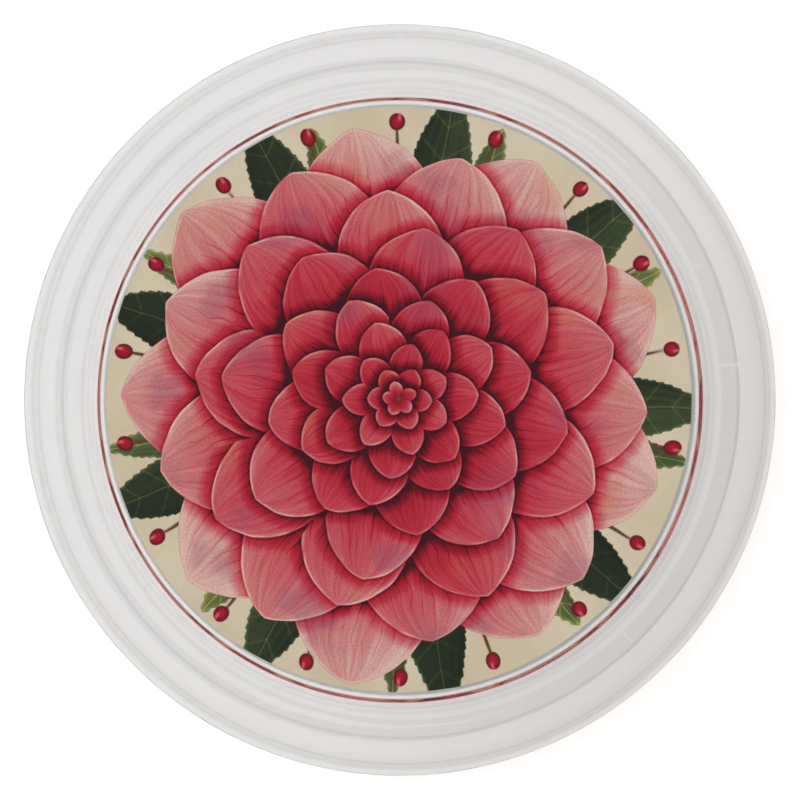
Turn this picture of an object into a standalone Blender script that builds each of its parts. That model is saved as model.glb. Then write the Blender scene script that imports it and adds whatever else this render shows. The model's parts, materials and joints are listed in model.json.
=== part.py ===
"""A round glass coaster dish with a printed paper disc and a felt pad under its flat base.

Units are metres and +Z is up. The origin is on the dish's axis, on the surface it stands on.
From the bottom up, the pieces are the felt pad, the paper disc and the glass. Each keeps a
thin clearance to the next, where the real ones are glued together.
"""

import math

import bmesh
import bpy

MM = 0.001

# How finely round shapes are divided.
SEGMENTS = 96
DEGREES_PER_STEP = 13

# The glass, in section: a thick flat floor inside a low, fat, round-lipped wall.
RIM_RADIUS = 54.0 * MM
FLOOR_THICKNESS = 12.1 * MM
WALL_ABOVE_FLOOR = 5.6 * MM
LIP_ROUNDING = 4.5 * MM
LIP_FLAT = 1.8 * MM
OUTER_SLOPE = math.radians(82)
INNER_SLOPE = math.radians(79)
BASE_EDGE_ROUNDING = 1.3 * MM
FLOOR_EDGE_ROUNDING = 0.5 * MM

# The backing under the glass, from the bottom up.
FELT_RADIUS = 42.1 * MM
FELT_THICKNESS = 0.7 * MM
PAPER_RADIUS = 42.6 * MM
PAPER_THICKNESS = 0.3 * MM
CLEARANCE = 0.25 * MM

# Levels, worked out from the sizes above.
PAPER_BOTTOM = FELT_THICKNESS + CLEARANCE
GLASS_BOTTOM = PAPER_BOTTOM + PAPER_THICKNESS + CLEARANCE
FLOOR_LEVEL = GLASS_BOTTOM + FLOOR_THICKNESS
LIP_LEVEL = FLOOR_LEVEL + WALL_ABOVE_FLOOR


def arc(centre, radius, start, end):
    """Return points (x, z) along an arc about centre, from the angle start to the angle end."""
    steps = max(1, round(math.degrees(abs(end - start)) / DEGREES_PER_STEP))
    angles = [start + (end - start) * step / steps for step in range(steps + 1)]
    return [(centre[0] + radius * math.cos(a), centre[1] + radius * math.sin(a)) for a in angles]


def rounding_centre(lip_centre, normal_angle, level, rounding, side):
    """Return the centre of the rounding between a sloping wall and a flat face.

    The wall is the tangent to the lip's arc at normal_angle. The rounding's centre is its own
    radius away from both: above the flat face at level, and on the metal side (side -1) or the
    open side (side +1) of the wall.
    """
    offset = LIP_ROUNDING + side * rounding
    centre_level = level + rounding
    start_x = lip_centre[0] + offset * math.cos(normal_angle)
    start_z = lip_centre[1] + offset * math.sin(normal_angle)
    return start_x + (start_z - centre_level) * math.tan(normal_angle), centre_level


def dish_outline():
    """Return the glass's half section, from the axis underneath, round the lip, to the floor."""
    outer_lip = (RIM_RADIUS - LIP_ROUNDING, LIP_LEVEL - LIP_ROUNDING)
    inner_lip = (outer_lip[0] - LIP_FLAT, outer_lip[1])
    down, up = math.radians(-90), math.radians(90)
    outer_normal = down + OUTER_SLOPE
    inner_normal = up + INNER_SLOPE
    base_edge = rounding_centre(outer_lip, outer_normal, GLASS_BOTTOM, BASE_EDGE_ROUNDING, -1)
    floor_edge = rounding_centre(inner_lip, inner_normal, FLOOR_LEVEL, FLOOR_EDGE_ROUNDING, 1)
    outline = [(0.0, GLASS_BOTTOM)]
    outline += arc(base_edge, BASE_EDGE_ROUNDING, down, outer_normal)
    outline += arc(outer_lip, LIP_ROUNDING, outer_normal, up)
    outline += arc(inner_lip, LIP_ROUNDING, up, inner_normal)
    outline += arc(floor_edge, FLOOR_EDGE_ROUNDING, down + INNER_SLOPE, down)
    outline.append((0.0, FLOOR_LEVEL))
    return outline


def disc_outline(radius, bottom, thickness):
    """Return the half section of a plain flat disc."""
    top = bottom + thickness
    return [(0.0, bottom), (radius, bottom), (radius, top), (0.0, top)]


def material(name, colour, roughness, transmission=0.0):
    """Return a new Principled material."""
    made = bpy.data.materials.new(name)
    made.use_nodes = True
    shader = made.node_tree.nodes["Principled BSDF"]
    shader.inputs["Base Color"].default_value = (*colour, 1.0)
    shader.inputs["Metallic"].default_value = 0.0
    shader.inputs["Roughness"].default_value = roughness
    shader.inputs["Transmission Weight"].default_value = transmission
    return made


def turned(name, outline, finish):
    """Turn an outline of (x, z) points once about Z, and return the closed object."""
    mesh = bpy.data.meshes.new(name)
    shape = bmesh.new()
    corners = [shape.verts.new((x, 0.0, z)) for x, z in outline]
    edges = [shape.edges.new(pair) for pair in zip(corners, corners[1:])]
    bmesh.ops.spin(
        shape,
        geom=corners + edges,
        cent=(0.0, 0.0, 0.0),
        axis=(0.0, 0.0, 1.0),
        angle=math.tau,
        steps=SEGMENTS,
        use_merge=True,
    )
    bmesh.ops.remove_doubles(shape, verts=shape.verts, dist=0.001 * MM)
    bmesh.ops.recalc_face_normals(shape, faces=shape.faces)
    shape.to_mesh(mesh)
    shape.free()
    mesh.shade_smooth()
    mesh.set_sharp_from_angle(angle=math.radians(40))
    mesh.materials.append(finish)
    made = bpy.data.objects.new(name, mesh)
    bpy.context.scene.collection.objects.link(made)
    return made


def glass_dish():
    """Make the one-piece clear glass dish."""
    glass = material("glass_dish", (0.95, 0.96, 0.95), 0.02, transmission=1.0)
    return turned("glass_dish", dish_outline(), glass)


def print_disc():
    """Make the printed paper disc that shows through the floor of the dish."""
    paper = material("print_disc", (0.60, 0.30, 0.27), 0.6)
    return turned("print_disc", disc_outline(PAPER_RADIUS, PAPER_BOTTOM, PAPER_THICKNESS), paper)


def felt_pad():
    """Make the felt pad that the whole dish stands on."""
    felt = material("felt_pad", (0.05, 0.10, 0.06), 0.95)
    return turned("felt_pad", disc_outline(FELT_RADIUS, 0.0, FELT_THICKNESS), felt)


def main():
    """Clear the scene and build the three pieces."""
    for old in list(bpy.data.objects):
        bpy.data.objects.remove(old)
    glass_dish()
    print_disc()
    felt_pad()


main()
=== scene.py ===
"""The looks of a round glass coaster dish with a printed flower medallion under its floor.

The glass is a finely turned mesh that bends light as real glass does, so the picture's edge,
the thin coloured ring that the wall shows of it and the plain rim all come from refraction.
The picture is a symmetrical medallion, painted by a material: layer upon layer of petals
round one centre, over leaves and berries on cream paper.
"""

import json
import math

import bmesh
import bpy
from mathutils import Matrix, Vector, noise


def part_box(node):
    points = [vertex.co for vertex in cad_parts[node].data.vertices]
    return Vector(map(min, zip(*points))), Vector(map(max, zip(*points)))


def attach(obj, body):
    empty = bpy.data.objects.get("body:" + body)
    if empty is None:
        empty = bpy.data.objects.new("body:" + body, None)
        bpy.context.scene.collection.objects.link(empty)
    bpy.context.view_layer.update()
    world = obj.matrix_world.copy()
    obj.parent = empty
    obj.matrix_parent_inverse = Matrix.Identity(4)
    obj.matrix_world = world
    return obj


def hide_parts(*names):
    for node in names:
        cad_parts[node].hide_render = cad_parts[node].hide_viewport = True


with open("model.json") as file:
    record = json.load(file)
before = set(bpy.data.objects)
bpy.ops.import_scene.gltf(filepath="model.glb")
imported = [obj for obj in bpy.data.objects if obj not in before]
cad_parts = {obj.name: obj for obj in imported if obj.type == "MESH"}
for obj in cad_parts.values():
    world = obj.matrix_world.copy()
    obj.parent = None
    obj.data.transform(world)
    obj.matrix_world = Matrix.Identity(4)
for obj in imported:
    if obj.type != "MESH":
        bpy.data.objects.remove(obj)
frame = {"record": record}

MM = 0.001
TAU = math.tau

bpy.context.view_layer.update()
glass_low, glass_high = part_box("glass_dish")
print_low, print_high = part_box("print_disc")
felt_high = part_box("felt_pad")[1]

# Sizes that the frame gives.
RIM_RADIUS = glass_high[0]
LIP_LEVEL = glass_high[2]
GLASS_BOTTOM = glass_low[2]
PRINT_RADIUS = print_high[0]
FELT_RADIUS = felt_high[0]
FLOOR_LEVEL = next(m for m in frame["record"]["mounts"] if m["name"] == "dish_floor")["pos_m"][2]

# The rest of the glass's section, as in the CAD model.
LIP_ROUNDING = 4.5 * MM
LIP_FLAT = 1.8 * MM
OUTER_SLOPE = math.radians(82)
INNER_SLOPE = math.radians(79)
BASE_EDGE_ROUNDING = 1.3 * MM
FLOOR_EDGE_ROUNDING = 0.5 * MM

# Fire polishing leaves the lip's flat softly crowned: it slopes off by this much at each side.
LIP_CROWN = math.radians(8)

# The glass's slight grey tint, how strongly it bends light, and how rough its rim's smudges are.
GLASS_TINT = (0.925, 0.928, 0.925, 1.0)
GLASS_IOR = 1.5
SMUDGE_ROUGHNESS = 0.10

# The floor is ground flat out to here, and the pressed wall around it ripples by this much.
FLAT_RADIUS = 42.0 * MM
RIPPLE = 0.03 * MM

# Small marks of use on the lip, each along a radius: its direction, how far out it starts and
# ends, its half width, and its depth as a share of the ripple's. The first three are scratches,
# the next three are soft dents, and the last three are nicks. Each fades in and out at its ends.
MARK_FADE = 0.3 * MM
MARKS = [
    (math.radians(24), 49.5 * MM, 53.2 * MM, 0.20 * MM, 1.2),
    (math.radians(6), 46.6 * MM, 49.0 * MM, 0.20 * MM, 1.2),
    (math.radians(-46), 49.6 * MM, 51.6 * MM, 0.20 * MM, 1.2),
    (math.radians(171), 50.6 * MM, 53.0 * MM, 0.60 * MM, 1.0),
    (math.radians(90), 50.0 * MM, 52.2 * MM, 0.60 * MM, 1.0),
    (math.radians(66), 50.6 * MM, 52.4 * MM, 0.60 * MM, 1.0),
    (math.radians(-153), 52.3 * MM, 52.9 * MM, 0.20 * MM, 2.0),
    (math.radians(107), 49.9 * MM, 50.4 * MM, 0.20 * MM, 2.0),
    (math.radians(-62), 46.3 * MM, 46.8 * MM, 0.20 * MM, 2.0),
]

# How finely the pieces are divided round the axis, and the glass along its section.
GLASS_SEGMENTS = 512
PRINT_SEGMENTS = 360
FELT_SEGMENTS = 192
ARC_STEPS = 20
WALL_STEPS = 8
FLOOR_STEPS = 6


# --- Formulas in material nodes ---


class Field:
    """A number that a material's nodes work out at each point, so that formulas read as such."""

    def __init__(self, tree, socket):
        self.tree = tree
        self.socket = socket

    def calc(self, operation, *others):
        """Return this number put through a Math node with the others."""
        node = self.tree.nodes.new("ShaderNodeMath")
        node.operation = operation
        for socket, value in zip(node.inputs, (self, *others)):
            feed(socket, value)
        return Field(self.tree, node.outputs[0])

    def __add__(self, other):
        return self.calc("ADD", other)

    def __sub__(self, other):
        return self.calc("SUBTRACT", other)

    def __rsub__(self, other):
        return self.calc("MULTIPLY_ADD", -1.0, other)

    def __mul__(self, other):
        return self.calc("MULTIPLY", other)

    def __truediv__(self, other):
        return self.calc("DIVIDE", other)

    def __pow__(self, other):
        return self.calc("POWER", other)

    def __abs__(self):
        return self.calc("ABSOLUTE")

    __rmul__ = __mul__

    def rise(self, low, high):
        """Return 0 at low, 1 at high and a smooth step between; low may be the larger."""
        node = self.tree.nodes.new("ShaderNodeMapRange")
        node.interpolation_type = "SMOOTHSTEP"
        feed(node.inputs["Value"], self)
        feed(node.inputs["From Min"], low)
        feed(node.inputs["From Max"], high)
        return Field(self.tree, node.outputs["Result"])

    def toward(self, other, amount):
        """Return this number moved towards another by amount, from 0 to 1."""
        node = self.tree.nodes.new("ShaderNodeMix")
        feed(node.inputs["Factor"], amount)
        feed(node.inputs["A"], self)
        feed(node.inputs["B"], other)
        return Field(self.tree, node.outputs["Result"])


def feed(socket, value):
    """Link a field to a socket, or set the socket to a plain value."""
    if isinstance(value, Field):
        value.tree.links.new(value.socket, socket)
    elif isinstance(value, bpy.types.NodeSocket):
        value.id_data.links.new(value, socket)
    else:
        socket.default_value = value


def linear(red, green, blue):
    """Return a colour given as 0 to 255 on a screen in the linear values that shaders use."""
    parts = [part / 255 for part in (red, green, blue)]
    return (*(p / 12.92 if p <= 0.04045 else ((p + 0.055) / 1.055) ** 2.4 for p in parts), 1.0)


def vector(tree, x, y, z):
    """Return a vector socket with the three parts."""
    node = tree.nodes.new("ShaderNodeCombineXYZ")
    for socket, value in zip(node.inputs, (x, y, z)):
        feed(socket, value)
    return node.outputs[0]


def noise_at(tree, place, scale, detail=2.0, roughness=0.5, distortion=0.0, dimensions="3D"):
    """Return a noise field, about 0.5, at a vector socket."""
    node = tree.nodes.new("ShaderNodeTexNoise")
    node.noise_dimensions = dimensions
    feed(node.inputs["Vector"], place)
    node.inputs["Scale"].default_value = scale
    node.inputs["Detail"].default_value = detail
    node.inputs["Roughness"].default_value = roughness
    node.inputs["Distortion"].default_value = distortion
    return Field(tree, node.outputs[0])


def ramp(tree, field, stops):
    """Return a colour socket: the field read off a scale of (position, colour) stops."""
    node = tree.nodes.new("ShaderNodeValToRGB")
    scale = node.color_ramp
    while len(scale.elements) < len(stops):
        scale.elements.new(0.5)
    for element, (position, colour) in zip(scale.elements, stops):
        element.position = position
        element.color = colour
    feed(node.inputs["Fac"], field)
    return node.outputs["Color"]


def blend_colours(tree, amount, first, second, how="MIX"):
    """Return a colour socket between two colours."""
    node = tree.nodes.new("ShaderNodeMix")
    node.data_type = "RGBA"
    node.blend_type = how
    # This node's sockets for colours come after those for numbers and vectors.
    feed(node.inputs[0], amount)
    feed(node.inputs[6], first)
    feed(node.inputs[7], second)
    return node.outputs[2]


def new_material(name):
    """Return a new material, its node tree and its Principled shader."""
    made = bpy.data.materials.new(name)
    made.use_nodes = True
    return made, made.node_tree, made.node_tree.nodes["Principled BSDF"]


def object_place(tree):
    """Return the vector socket of the piece's own coordinates, in metres."""
    return tree.nodes.new("ShaderNodeTexCoord").outputs["Object"]


def bump(tree, shader, height, distance):
    """Raise a height field, in units of distance, on the shader's surface."""
    node = tree.nodes.new("ShaderNodeBump")
    node.inputs["Distance"].default_value = distance
    feed(node.inputs["Height"], height)
    feed(shader.inputs["Normal"], node.outputs["Normal"])


# --- The medallion ---

# The tones of the flower, the leaves and the berries, from deepest shade to full light.
PETAL_TONES = [
    (0.00, linear(62, 6, 20)),
    (0.16, linear(120, 13, 32)),
    (0.34, linear(174, 24, 44)),
    (0.52, linear(197, 52, 70)),
    (0.70, linear(207, 102, 108)),
    (0.86, linear(217, 150, 144)),
    (1.00, linear(231, 196, 182)),
]
LEAF_TONES = [
    (0.00, linear(14, 20, 14)),
    (0.35, linear(38, 50, 32)),
    (0.65, linear(86, 102, 58)),
    (0.85, linear(144, 152, 82)),
    (1.00, linear(188, 186, 96)),
]
PEACH = linear(214, 132, 104)
MAUVE = linear(150, 78, 104)
STEM = linear(112, 92, 52)
PAPER_CREAM = linear(227, 216, 187)
PAPER_AGED = linear(216, 200, 166)

# The rings of petals from the outermost in: how many, how far out the tips reach, where the
# roots lie (both as shares of the picture's radius), the tone at the root and at the tip.
PETAL_RINGS = [
    (9, 0.97, 0.24, 0.32, 0.90),
    (9, 0.86, 0.22, 0.26, 0.79),
    (9, 0.73, 0.18, 0.20, 0.67),
    (8, 0.60, 0.14, 0.19, 0.58),
    (8, 0.47, 0.10, 0.20, 0.55),
    (8, 0.365, 0.07, 0.21, 0.55),
    (7, 0.27, 0.04, 0.22, 0.56),
    (7, 0.185, 0.02, 0.24, 0.57),
    (6, 0.115, 0.01, 0.24, 0.58),
    (5, 0.06, 0.0, 0.28, 0.64),
]
PETAL_POINT = 0.09

# The rings of leaves: how many, where the tips and the roots lie, half the width (all three as
# shares of the picture's radius), how far the ring is turned, as a share of one leaf's room, the
# seed of the leaves' small differences, and how light they are.
LEAF_RINGS = [
    (9, 1.06, 0.60, 0.105, 0.50, 31.0, 0.32),
    (9, 0.99, 0.60, 0.060, 0.80, 32.0, 0.62),
]


class Paint:
    """Where each point of the picture lies, in shares of its radius, with a hand's small errors."""

    WOBBLE = 0.018

    def __init__(self, tree):
        self.tree = tree
        scaled = tree.nodes.new("ShaderNodeVectorMath")
        scaled.operation = "SCALE"
        feed(scaled.inputs[0], object_place(tree))
        scaled.inputs["Scale"].default_value = 1 / PRINT_RADIUS
        self.place = scaled.outputs[0]
        wander = tree.nodes.new("ShaderNodeTexNoise")
        wander.noise_dimensions = "2D"
        feed(wander.inputs["Vector"], self.place)
        wander.inputs["Scale"].default_value = 5.0
        wander.inputs["Detail"].default_value = 2.0
        errors = tree.nodes.new("ShaderNodeSeparateXYZ")
        feed(errors.inputs[0], wander.outputs["Color"])
        place = tree.nodes.new("ShaderNodeSeparateXYZ")
        feed(place.inputs[0], self.place)
        x = Field(tree, place.outputs[0]) + (Field(tree, errors.outputs[0]) - 0.5) * self.WOBBLE
        y = Field(tree, place.outputs[1]) + (Field(tree, errors.outputs[1]) - 0.5) * self.WOBBLE
        self.x, self.y = x, y
        self.radius = (x * x + y * y).calc("SQRT")
        self.zero = Field(tree, tree.nodes.new("ShaderNodeValue").outputs[0])
        self.patches = self.noise(12.0, detail=1.0)
        self.wander = self.noise(7.0, detail=1.0) - 0.5
        self.angle = y.calc("ARCTAN2", x)

    def noise(self, scale, detail=2.0, place=None):
        """Return a flat noise field, about 0.5, at a place on the picture."""
        return noise_at(self.tree, place or self.place, scale, detail=detail, dimensions="2D")


class Motif:
    """One ring of equal motifs, petals or leaves, each with small differences of its own.

    along runs from 0 at the root to 1 at the tip, and across from -1 to 1 between the sides.
    inside is about the distance to the outline, in shares of the picture's radius: more than
    0 inside it and less than 0 outside.
    """

    def __init__(self, paint, count, tip, root, half_width, twist, seed, fullness=1.6, point=0.0):
        tree = paint.tree
        turn = paint.angle * (count / TAU) + (twist + 2 * count)
        cell = turn.calc("FLOOR").calc("MODULO", count)
        chance = tree.nodes.new("ShaderNodeTexWhiteNoise")
        chance.noise_dimensions = "2D"
        feed(chance.inputs["Vector"], vector(tree, cell, seed, 0.0))
        parts = tree.nodes.new("ShaderNodeSeparateXYZ")
        feed(parts.inputs[0], chance.outputs["Color"])
        self.chance = [Field(tree, socket) - 0.5 for socket in parts.outputs]
        lean = (turn.calc("FRACT") - 0.5 + self.chance[0] * 0.10) * (TAU / count)
        sideways = paint.radius * lean.calc("SINE")
        outwards = paint.radius * lean.calc("COSINE")
        length = (tip - root) * (self.chance[1] * 0.12 + 1.0)
        self.side = sideways / half_width
        reach = (outwards - root) / length + abs(self.side) * point
        self.along = reach.calc("MAXIMUM", 0.0)
        bulge = self.along ** fullness * 2.0 - 1.0
        room = 1.0 - bulge * bulge
        self.inside = (room - self.side * self.side) * (half_width / 2)
        self.across = self.side / room.calc("MAXIMUM", 0.02).calc("SQRT")
        self.paint = paint
        self.seed = seed

    def mask(self, blur=0.002):
        """Return 1 inside the outline and 0 outside it."""
        return self.inside.rise(-blur, blur)

    def streaks(self, count, strength):
        """Return brush strokes along the motif, about 0."""
        along = self.along * 1.6 + self.seed * 7.3
        place = vector(self.paint.tree, self.across * count, along, 0.0)
        return (self.paint.noise(1.0, detail=1.5, place=place) - 0.5) * strength

    def veins(self, count, strength):
        """Return thin broken lines that fan out from the root and fade towards the tip."""
        wave = (self.across * count + self.paint.wander * 5.0 + self.chance[2] * 6.0).calc("SINE")
        line = abs(wave).rise(0.26, 0.0)
        broken = self.paint.patches.rise(0.34, 0.50)
        return line * broken * self.along.rise(1.04, 0.60) * strength


def petal_tone(ring, root_tone, tip_tone, light):
    """Return how light a ring of petals is painted, from 0 to 1 on the scale of tones."""
    full = ring.along.rise(0.05, 1.0)
    tone = full * (tip_tone - root_tone) + root_tone + ring.chance[2] * 0.16
    tone = tone + ring.streaks(9.0, 0.26) - ring.veins(17.0, 0.26)
    # Each petal is a shallow cup: one flank takes the light and the other is in shade.
    tone = tone - ring.across * light * 0.10
    # Its sides are dark beside the root and pale round the tip, and its middle is creased.
    sides = abs(ring.across).rise(0.50, 1.05)
    tone = tone + sides * (ring.along * 0.36 - 0.24)
    tone = tone - abs(ring.side).rise(0.07, 0.0) * ring.along.rise(1.0, 0.3) * 0.12
    # Here and there the very edge catches the light.
    edge = ring.inside.rise(0.012, 0.003) * ring.along.rise(0.35, 0.85)
    return tone + edge * ring.paint.patches.rise(0.30, 0.60) * 0.20


def flower(paint):
    """Return the tone of the flower and a mask of where it lies, ring over ring from outside in."""
    tone, cover = paint.zero, paint.zero
    shine = (paint.angle - 2.2).calc("COSINE")
    for number, (count, tip, root, root_tone, tip_tone) in enumerate(PETAL_RINGS):
        widest = root + (tip - root) * 0.62
        half_width = widest * math.sin(math.pi / count) * 1.04
        twist = 0.5 * (number % 2) + 0.07 * number
        ring = Motif(paint, count, tip, root, half_width, twist, number + 1.0, point=PETAL_POINT)
        mask = ring.mask()
        # The ring above shades the one below, close to its own outline.
        shade = ring.inside.rise(-0.080, 0.0) * 0.30 + ring.inside.rise(-0.016, 0.0) * 0.18
        tone = (tone - shade).toward(petal_tone(ring, root_tone, tip_tone, shine), mask)
        cover = cover.calc("MAXIMUM", mask)
    return tone, cover


def leaf_layer(paint, colour, count, tip, root, half_width, twist, seed, tone):
    """Paint a ring of pointed leaves with toothed edges over a colour, and return the result."""
    ring = Motif(paint, count, tip, root, half_width, twist, seed, fullness=1.0, point=0.16)
    teeth = (ring.along * 19.0).calc("FRACT") - 0.5
    mask = (ring.inside + teeth * 0.006).rise(-0.002, 0.002)
    rib = abs(ring.side).rise(0.05, 0.0)
    slant = ring.along * 13.0 - abs(ring.side) * 4.5
    side_veins = abs(slant.calc("SINE")).rise(0.22, 0.0)
    own = ring.streaks(5.0, 0.22) + tone + rib * 0.28 + side_veins * 0.13
    own = own - ring.side * 0.10 + ring.inside.rise(0.012, 0.0) * 0.14 + ring.chance[2] * 0.2
    return blend_colours(paint.tree, mask, colour, ramp(paint.tree, own, LEAF_TONES))


def berry_layer(paint, colour):
    """Paint thin stems that end in round crimson berries over a colour."""
    tree = paint.tree
    count, twist, seed = 18, 0.0, 41.0
    stem = Motif(paint, count, 0.93, 0.40, 0.007, twist, seed)
    colour = blend_colours(tree, stem.mask(0.001), colour, STEM)
    berry = Motif(paint, count, 0.975, 0.915, 0.026, twist, seed, fullness=1.0)
    lit = (berry.inside / 0.015).calc("MINIMUM", 1.0)
    gleam = ((berry.side + 0.3) * (berry.side + 0.3)).rise(0.10, 0.0) * berry.along.rise(0.4, 0.75)
    tone = lit * 0.34 + 0.06 + gleam * 0.45
    return blend_colours(tree, berry.mask(), colour, ramp(tree, tone, PETAL_TONES))


def medallion_material():
    """Paint the medallion on matt paper."""
    made, tree, shader = new_material("print_disc")
    paint = Paint(tree)
    mottle = paint.noise(3.0, detail=4.0).rise(0.35, 0.7)
    colour = blend_colours(tree, mottle * 0.6, PAPER_CREAM, PAPER_AGED)
    for ring in LEAF_RINGS:
        colour = leaf_layer(paint, colour, *ring)
    colour = berry_layer(paint, colour)

    tone, cover = flower(paint)
    petals = ramp(tree, tone, PETAL_TONES)
    warm = paint.noise(4.5)
    petals = blend_colours(tree, warm.rise(0.55, 0.75) * tone.rise(0.35, 0.8) * 0.4, petals, PEACH)
    petals = blend_colours(tree, warm.rise(0.45, 0.28) * tone.rise(0.2, 0.6) * 0.35, petals, MAUVE)
    colour = blend_colours(tree, cover, colour, petals)

    # The printing's fine stipple is stronger on the petals than on the rest.
    stipple = paint.noise(150.0, detail=1.0).rise(0.2, 0.8) - 0.5
    value = stipple * (cover * 0.15 + 0.05) + 1.0
    colour = blend_colours(tree, 1.0, colour, vector(tree, value, value, value), "MULTIPLY")
    feed(shader.inputs["Base Color"], colour)
    shader.inputs["Roughness"].default_value = 0.75
    shader.inputs["Specular IOR Level"].default_value = 0.2
    return made


# --- The glass ---


def arc(centre, radius, start, end, steps=ARC_STEPS):
    """Return points (x, z) along an arc about centre, from the angle start to the angle end."""
    angles = [start + (end - start) * step / steps for step in range(steps + 1)]
    return [(centre[0] + radius * math.cos(a), centre[1] + radius * math.sin(a)) for a in angles]


def between(first, last, steps):
    """Return the points that divide a straight line into steps, without its ends."""
    shares = [step / steps for step in range(1, steps)]
    return [tuple(a + (b - a) * share for a, b in zip(first, last)) for share in shares]


def rounding_centre(lip_centre, normal_angle, level, rounding, side):
    """Return the centre of the rounding between a sloping wall and a flat face, as in CAD."""
    offset = LIP_ROUNDING + side * rounding
    centre_level = level + rounding
    start_x = lip_centre[0] + offset * math.cos(normal_angle)
    start_z = lip_centre[1] + offset * math.sin(normal_angle)
    return start_x + (start_z - centre_level) * math.tan(normal_angle), centre_level


def glass_outline():
    """Return the glass's half section, from the axis underneath, round the lip, to the floor.

    The lip's two roundings run into its crown, a wider arc whose top is the rim's highest level.
    """
    half_flat = LIP_FLAT / 2
    middle = RIM_RADIUS - LIP_ROUNDING - half_flat
    crown_radius = LIP_ROUNDING + half_flat / math.sin(LIP_CROWN)
    crown_centre = (middle, LIP_LEVEL - crown_radius)
    lip_centre_level = crown_centre[1] + half_flat / math.tan(LIP_CROWN)
    outer_lip = (middle + half_flat, lip_centre_level)
    inner_lip = (middle - half_flat, lip_centre_level)
    down, up = math.radians(-90), math.radians(90)
    outer_normal = down + OUTER_SLOPE
    inner_normal = up + INNER_SLOPE
    base_edge = rounding_centre(outer_lip, outer_normal, GLASS_BOTTOM, BASE_EDGE_ROUNDING, -1)
    floor_edge = rounding_centre(inner_lip, inner_normal, FLOOR_LEVEL, FLOOR_EDGE_ROUNDING, 1)
    parts = [
        arc(base_edge, BASE_EDGE_ROUNDING, down, outer_normal),
        arc(outer_lip, LIP_ROUNDING, outer_normal, up - LIP_CROWN),
        arc(crown_centre, crown_radius, up - LIP_CROWN, up + LIP_CROWN),
        arc(inner_lip, LIP_ROUNDING, up + LIP_CROWN, inner_normal),
        arc(floor_edge, FLOOR_EDGE_ROUNDING, down + INNER_SLOPE, down),
        [(0.0, FLOOR_LEVEL)],
    ]
    # How the straight run before each part is divided. The crown's two joints have no such run.
    runs = (FLOOR_STEPS, WALL_STEPS, 1, 1, WALL_STEPS, FLOOR_STEPS)
    outline = [(0.0, GLASS_BOTTOM)]
    for part, steps in zip(parts, runs):
        outline += between(outline[-1], part[0], steps)
        outline += part
    return outline


def turned(name, outline, segments):
    """Turn an outline of (x, z) points once about Z, and return the closed object."""
    mesh = bpy.data.meshes.new(name)
    shape = bmesh.new()
    corners = [shape.verts.new((x, 0.0, z)) for x, z in outline]
    edges = [shape.edges.new(pair) for pair in zip(corners, corners[1:])]
    bmesh.ops.spin(
        shape,
        geom=corners + edges,
        cent=(0.0, 0.0, 0.0),
        axis=(0.0, 0.0, 1.0),
        angle=TAU,
        steps=segments,
        use_merge=True,
    )
    bmesh.ops.remove_doubles(shape, verts=shape.verts, dist=0.0005 * MM)
    bmesh.ops.recalc_face_normals(shape, faces=shape.faces)
    shape.to_mesh(mesh)
    shape.free()
    mesh.shade_smooth()
    made = bpy.data.objects.new(name, mesh)
    bpy.context.scene.collection.objects.link(made)
    return made


def glass_material():
    """Clear glass with the faint ripple of fire polishing and a few fine wear marks."""
    made, tree, shader = new_material("glass_dish")
    shader.inputs["Base Color"].default_value = GLASS_TINT
    shader.inputs["Transmission Weight"].default_value = 1.0
    shader.inputs["IOR"].default_value = GLASS_IOR
    shader.inputs["Roughness"].default_value = 0.0
    place = object_place(tree)
    parts = tree.nodes.new("ShaderNodeSeparateXYZ")
    feed(parts.inputs[0], place)
    x, y = (Field(tree, socket) for socket in parts.outputs[:2])
    radius = (x * x + y * y).calc("SQRT")
    height = noise_at(tree, place, 190.0, detail=0.5) * radius.rise(FLAT_RADIUS, FLAT_RADIUS * 1.05)
    for angle, start, end, half_width, depth in MARKS:
        along = x * math.cos(angle) + y * math.sin(angle)
        aside = abs(y * math.cos(angle) - x * math.sin(angle))
        ends = along.rise(start, start + MARK_FADE) * along.rise(end, end - MARK_FADE)
        height = height - aside.rise(half_width, 0.0) * ends * depth
    bump(tree, shader, height, RIPPLE)
    smudges = noise_at(tree, place, 60.0, detail=1.5, roughness=0.7).rise(0.50, 0.80)
    smudges = smudges * radius.rise(FLAT_RADIUS, RIM_RADIUS)
    feed(shader.inputs["Roughness"], smudges * SMUDGE_ROUGHNESS)
    return made


def glass_dish():
    """Make the dish's glass and put it in the place of its CAD solid."""
    dish = turned("glass", glass_outline(), GLASS_SEGMENTS)
    dish.data.materials.append(glass_material())
    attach(dish, "root")
    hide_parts("glass_dish")


# --- The backing ---

# How far the glued paper reaches into the glass so that no air shows between, how much of its
# edge is cut off at most, and how round the felt's lower edge is.
GLUE_WETS = 0.02 * MM
TRIM = 0.2 * MM
FELT_SOFTNESS = 0.2 * MM


def trim_unevenly(disc):
    """Take a little off the paper's edge here and there, as scissors do."""
    for vertex in disc.data.vertices:
        around = Vector((vertex.co.x, vertex.co.y, 0.0))
        if around.length > PRINT_RADIUS / 2:
            around.normalize()
            waver = 0.5 + 0.5 * noise.noise(around * 2.5) + 0.25 * noise.noise(around * 16.0)
            vertex.co.xy = around.xy * (PRINT_RADIUS - TRIM * min(max(waver, 0.0), 1.0))


def print_disc():
    """Make the paper with its glue, up to the glass."""
    top = GLASS_BOTTOM + GLUE_WETS
    bottom = print_low[2]
    edge = PRINT_RADIUS
    outline = [(0.0, bottom), (edge, bottom), (edge, top), (0.0, top)]
    disc = turned("print", outline, PRINT_SEGMENTS)
    trim_unevenly(disc)
    disc.data.set_sharp_from_angle(angle=math.radians(40))
    disc.data.materials.append(medallion_material())
    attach(disc, "root")
    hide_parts("print_disc")


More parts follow.
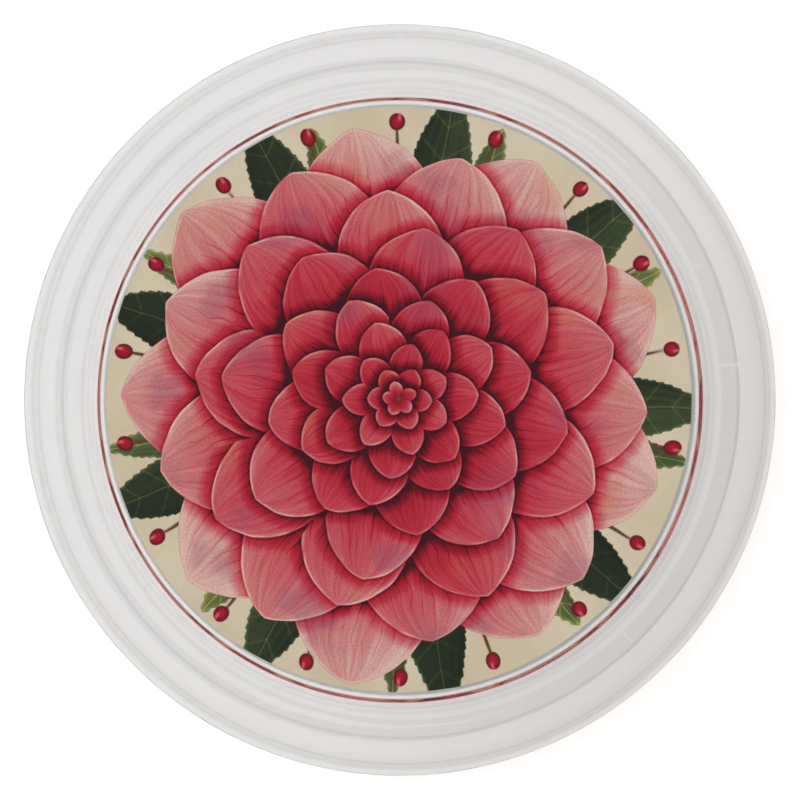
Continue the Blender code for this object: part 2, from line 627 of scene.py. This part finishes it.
def felt_material():
    """Dense wool felt."""
    made, tree, shader = new_material("felt_pad")
    place = object_place(tree)
    fibres = noise_at(tree, place, 2600.0, detail=4.0, roughness=0.7, distortion=1.2)
    tones = [(0.25, linear(18, 34, 24)), (0.75, linear(44, 70, 50))]
    feed(shader.inputs["Base Color"], ramp(tree, fibres, tones))
    shader.inputs["Roughness"].default_value = 0.95
    shader.inputs["Sheen Weight"].default_value = 0.4
    bump(tree, shader, fibres, 0.15 * MM)
    return made


def felt_pad():
    """Make the felt pad, up to the paper and a little soft at its lower edge."""
    thickness = print_low[2]
    flat = FELT_RADIUS - FELT_SOFTNESS
    outline = [(0.0, 0.0), (flat, 0.0)]
    outline += arc((flat, FELT_SOFTNESS), FELT_SOFTNESS, math.radians(-90), 0.0, steps=4)[1:]
    outline += [(FELT_RADIUS, thickness), (0.0, thickness)]
    pad = turned("felt", outline, FELT_SEGMENTS)
    pad.data.set_sharp_from_angle(angle=math.radians(60))
    pad.data.materials.append(felt_material())
    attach(pad, "root")
    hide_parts("felt_pad")


# --- The studio ---

# How strong the light is well above the dish and at the horizon, how much more of it comes
# from one side than from the middle, and which side that is.
LIGHT_ABOVE = 1.94
LIGHT_AT_HORIZON = 0.55
LIGHT_LEAN = 0.20
LIGHT_SIDE = math.radians(155)

# The dark patch in the light: its angular radius, the share of that where it is dark in full,
# and the share of the light that it takes.
PATCH_RADIUS = math.radians(2.42)
PATCH_CORE = 0.93
PATCH_DEPTH = 0.97

# How wide the floor is, and its painted shade: its tones on the side of the light and away
# from it, which stand for the light falling off across it, and how gently they change.
STUDIO_RADIUS = 6.0
FLOOR_LIT_TONE = (0.97, 0.97, 0.97, 1.0)
FLOOR_SHADE_TONE = (0.865, 0.85, 0.837, 1.0)
FLOOR_FADE = 85 * MM

# The dish's own soft shadow is painted into the floor's tone: the shares of light that this painted
# shadow takes under the overhanging lip and on the far side, and where the first of them starts and
# how it fades.
SHADE_UNDER_LIP = 0.24
SHADE_FAR_SIDE = 0.11
SHADE_START = 50.8 * MM
SHADE_FADE = 0.8 * MM
BLACK = (0.0, 0.0, 0.0, 1.0)

# The camera stands straight above the dish but for a small drift, and the rim fills this share
# of the frame's width.
CAMERA_PLACE = Vector((-0.020, 0.006, 1.12))
SENSOR = 36.0
FILL = 0.94


def studio_floor():
    """Make a white floor, painted a little greyer away from the light, with a painted shadow of the
    dish.
    """
    mesh = bpy.data.meshes.new("floor")
    shape = bmesh.new()
    bmesh.ops.create_circle(shape, cap_ends=True, segments=96, radius=STUDIO_RADIUS)
    shape.to_mesh(mesh)
    shape.free()
    ground = bpy.data.objects.new("floor", mesh)
    bpy.context.scene.collection.objects.link(ground)
    made, tree, shader = new_material("floor")
    parts = tree.nodes.new("ShaderNodeSeparateXYZ")
    feed(parts.inputs[0], object_place(tree))
    x, y = (Field(tree, socket) for socket in parts.outputs[:2])
    # Painted shade: the floor's tone goes greyer on the side away from the light.
    away = x * -math.cos(LIGHT_SIDE) - y * math.sin(LIGHT_SIDE)
    tone = blend_colours(tree, away.rise(-FLOOR_FADE, FLOOR_FADE), FLOOR_LIT_TONE, FLOOR_SHADE_TONE)
    radius = (x * x + y * y).calc("SQRT")
    # A painted shadow of the dish: the floor is darker under the overhanging lip and on the side
    # away from the light, inside the rim.
    painted_shadow_under_lip = radius.rise(SHADE_START, SHADE_START + SHADE_FADE) * SHADE_UNDER_LIP
    painted_shadow_far_side = away.rise(RIM_RADIUS * 0.1, RIM_RADIUS) * SHADE_FAR_SIDE
    shade = (painted_shadow_under_lip + painted_shadow_far_side) * radius.rise(RIM_RADIUS, RIM_RADIUS - SHADE_FADE)
    feed(shader.inputs["Base Color"], blend_colours(tree, shade, tone, BLACK))
    shader.inputs["Roughness"].default_value = 0.9
    shader.inputs["Specular IOR Level"].default_value = 0.2
    mesh.materials.append(made)


def studio_light():
    """Surround the dish with soft white light.

    It is a little stronger from one side, weaker towards the horizon, and nearly off in a small
    round patch, the part that the flat floor of the dish would mirror to the camera.
    """
    world = bpy.data.worlds.new("studio")
    world.use_nodes = True
    bpy.context.scene.world = world
    tree = world.node_tree
    direction = tree.nodes.new("ShaderNodeSeparateXYZ")
    feed(direction.inputs[0], tree.nodes.new("ShaderNodeTexCoord").outputs["Generated"])
    across, along, up = (Field(tree, socket) for socket in direction.outputs)
    level = up.rise(0.0, 1.0) * (LIGHT_ABOVE - LIGHT_AT_HORIZON) + LIGHT_AT_HORIZON
    toward_light = across * math.cos(LIGHT_SIDE) + along * math.sin(LIGHT_SIDE)
    level = level * (toward_light * LIGHT_LEAN + 1.0)
    # A level mirror shows the camera what lies as high as it, across the vertical from it.
    camera = CAMERA_PLACE.normalized()
    mirrored = up * camera.z - across * camera.x - along * camera.y
    patch = mirrored.rise(math.cos(PATCH_RADIUS), math.cos(PATCH_RADIUS * PATCH_CORE))
    feed(tree.nodes["Background"].inputs["Color"], level * (1.0 - patch * PATCH_DEPTH))


def camera_above():
    """Put the camera above the dish, aimed at the middle of the rim's widest level, unturned."""
    drop = CAMERA_PLACE.z - (LIP_LEVEL - LIP_ROUNDING)
    data = bpy.data.cameras.new("camera")
    data.sensor_width = SENSOR
    data.lens = SENSOR * drop * FILL / (2 * RIM_RADIUS)
    camera = bpy.data.objects.new("camera", data)
    camera.location = CAMERA_PLACE
    tilt = -math.atan2(CAMERA_PLACE.y, drop), math.atan2(CAMERA_PLACE.x, drop), 0.0
    camera.rotation_euler = tilt
    bpy.context.scene.collection.objects.link(camera)
    bpy.context.scene.camera = camera


def render_look():
    """Set how tones are shown, the denoising, and how often light may bounce."""
    scene = bpy.context.scene
    scene.view_settings.view_transform = "Standard"
    scene.cycles.use_denoising = True
    scene.cycles.max_bounces = 8
    scene.cycles.transmission_bounces = 8
    scene.cycles.glossy_bounces = 4
    scene.cycles.diffuse_bounces = 2


glass_dish()
print_disc()
felt_pad()
studio_floor()
studio_light()
camera_above()
render_look()
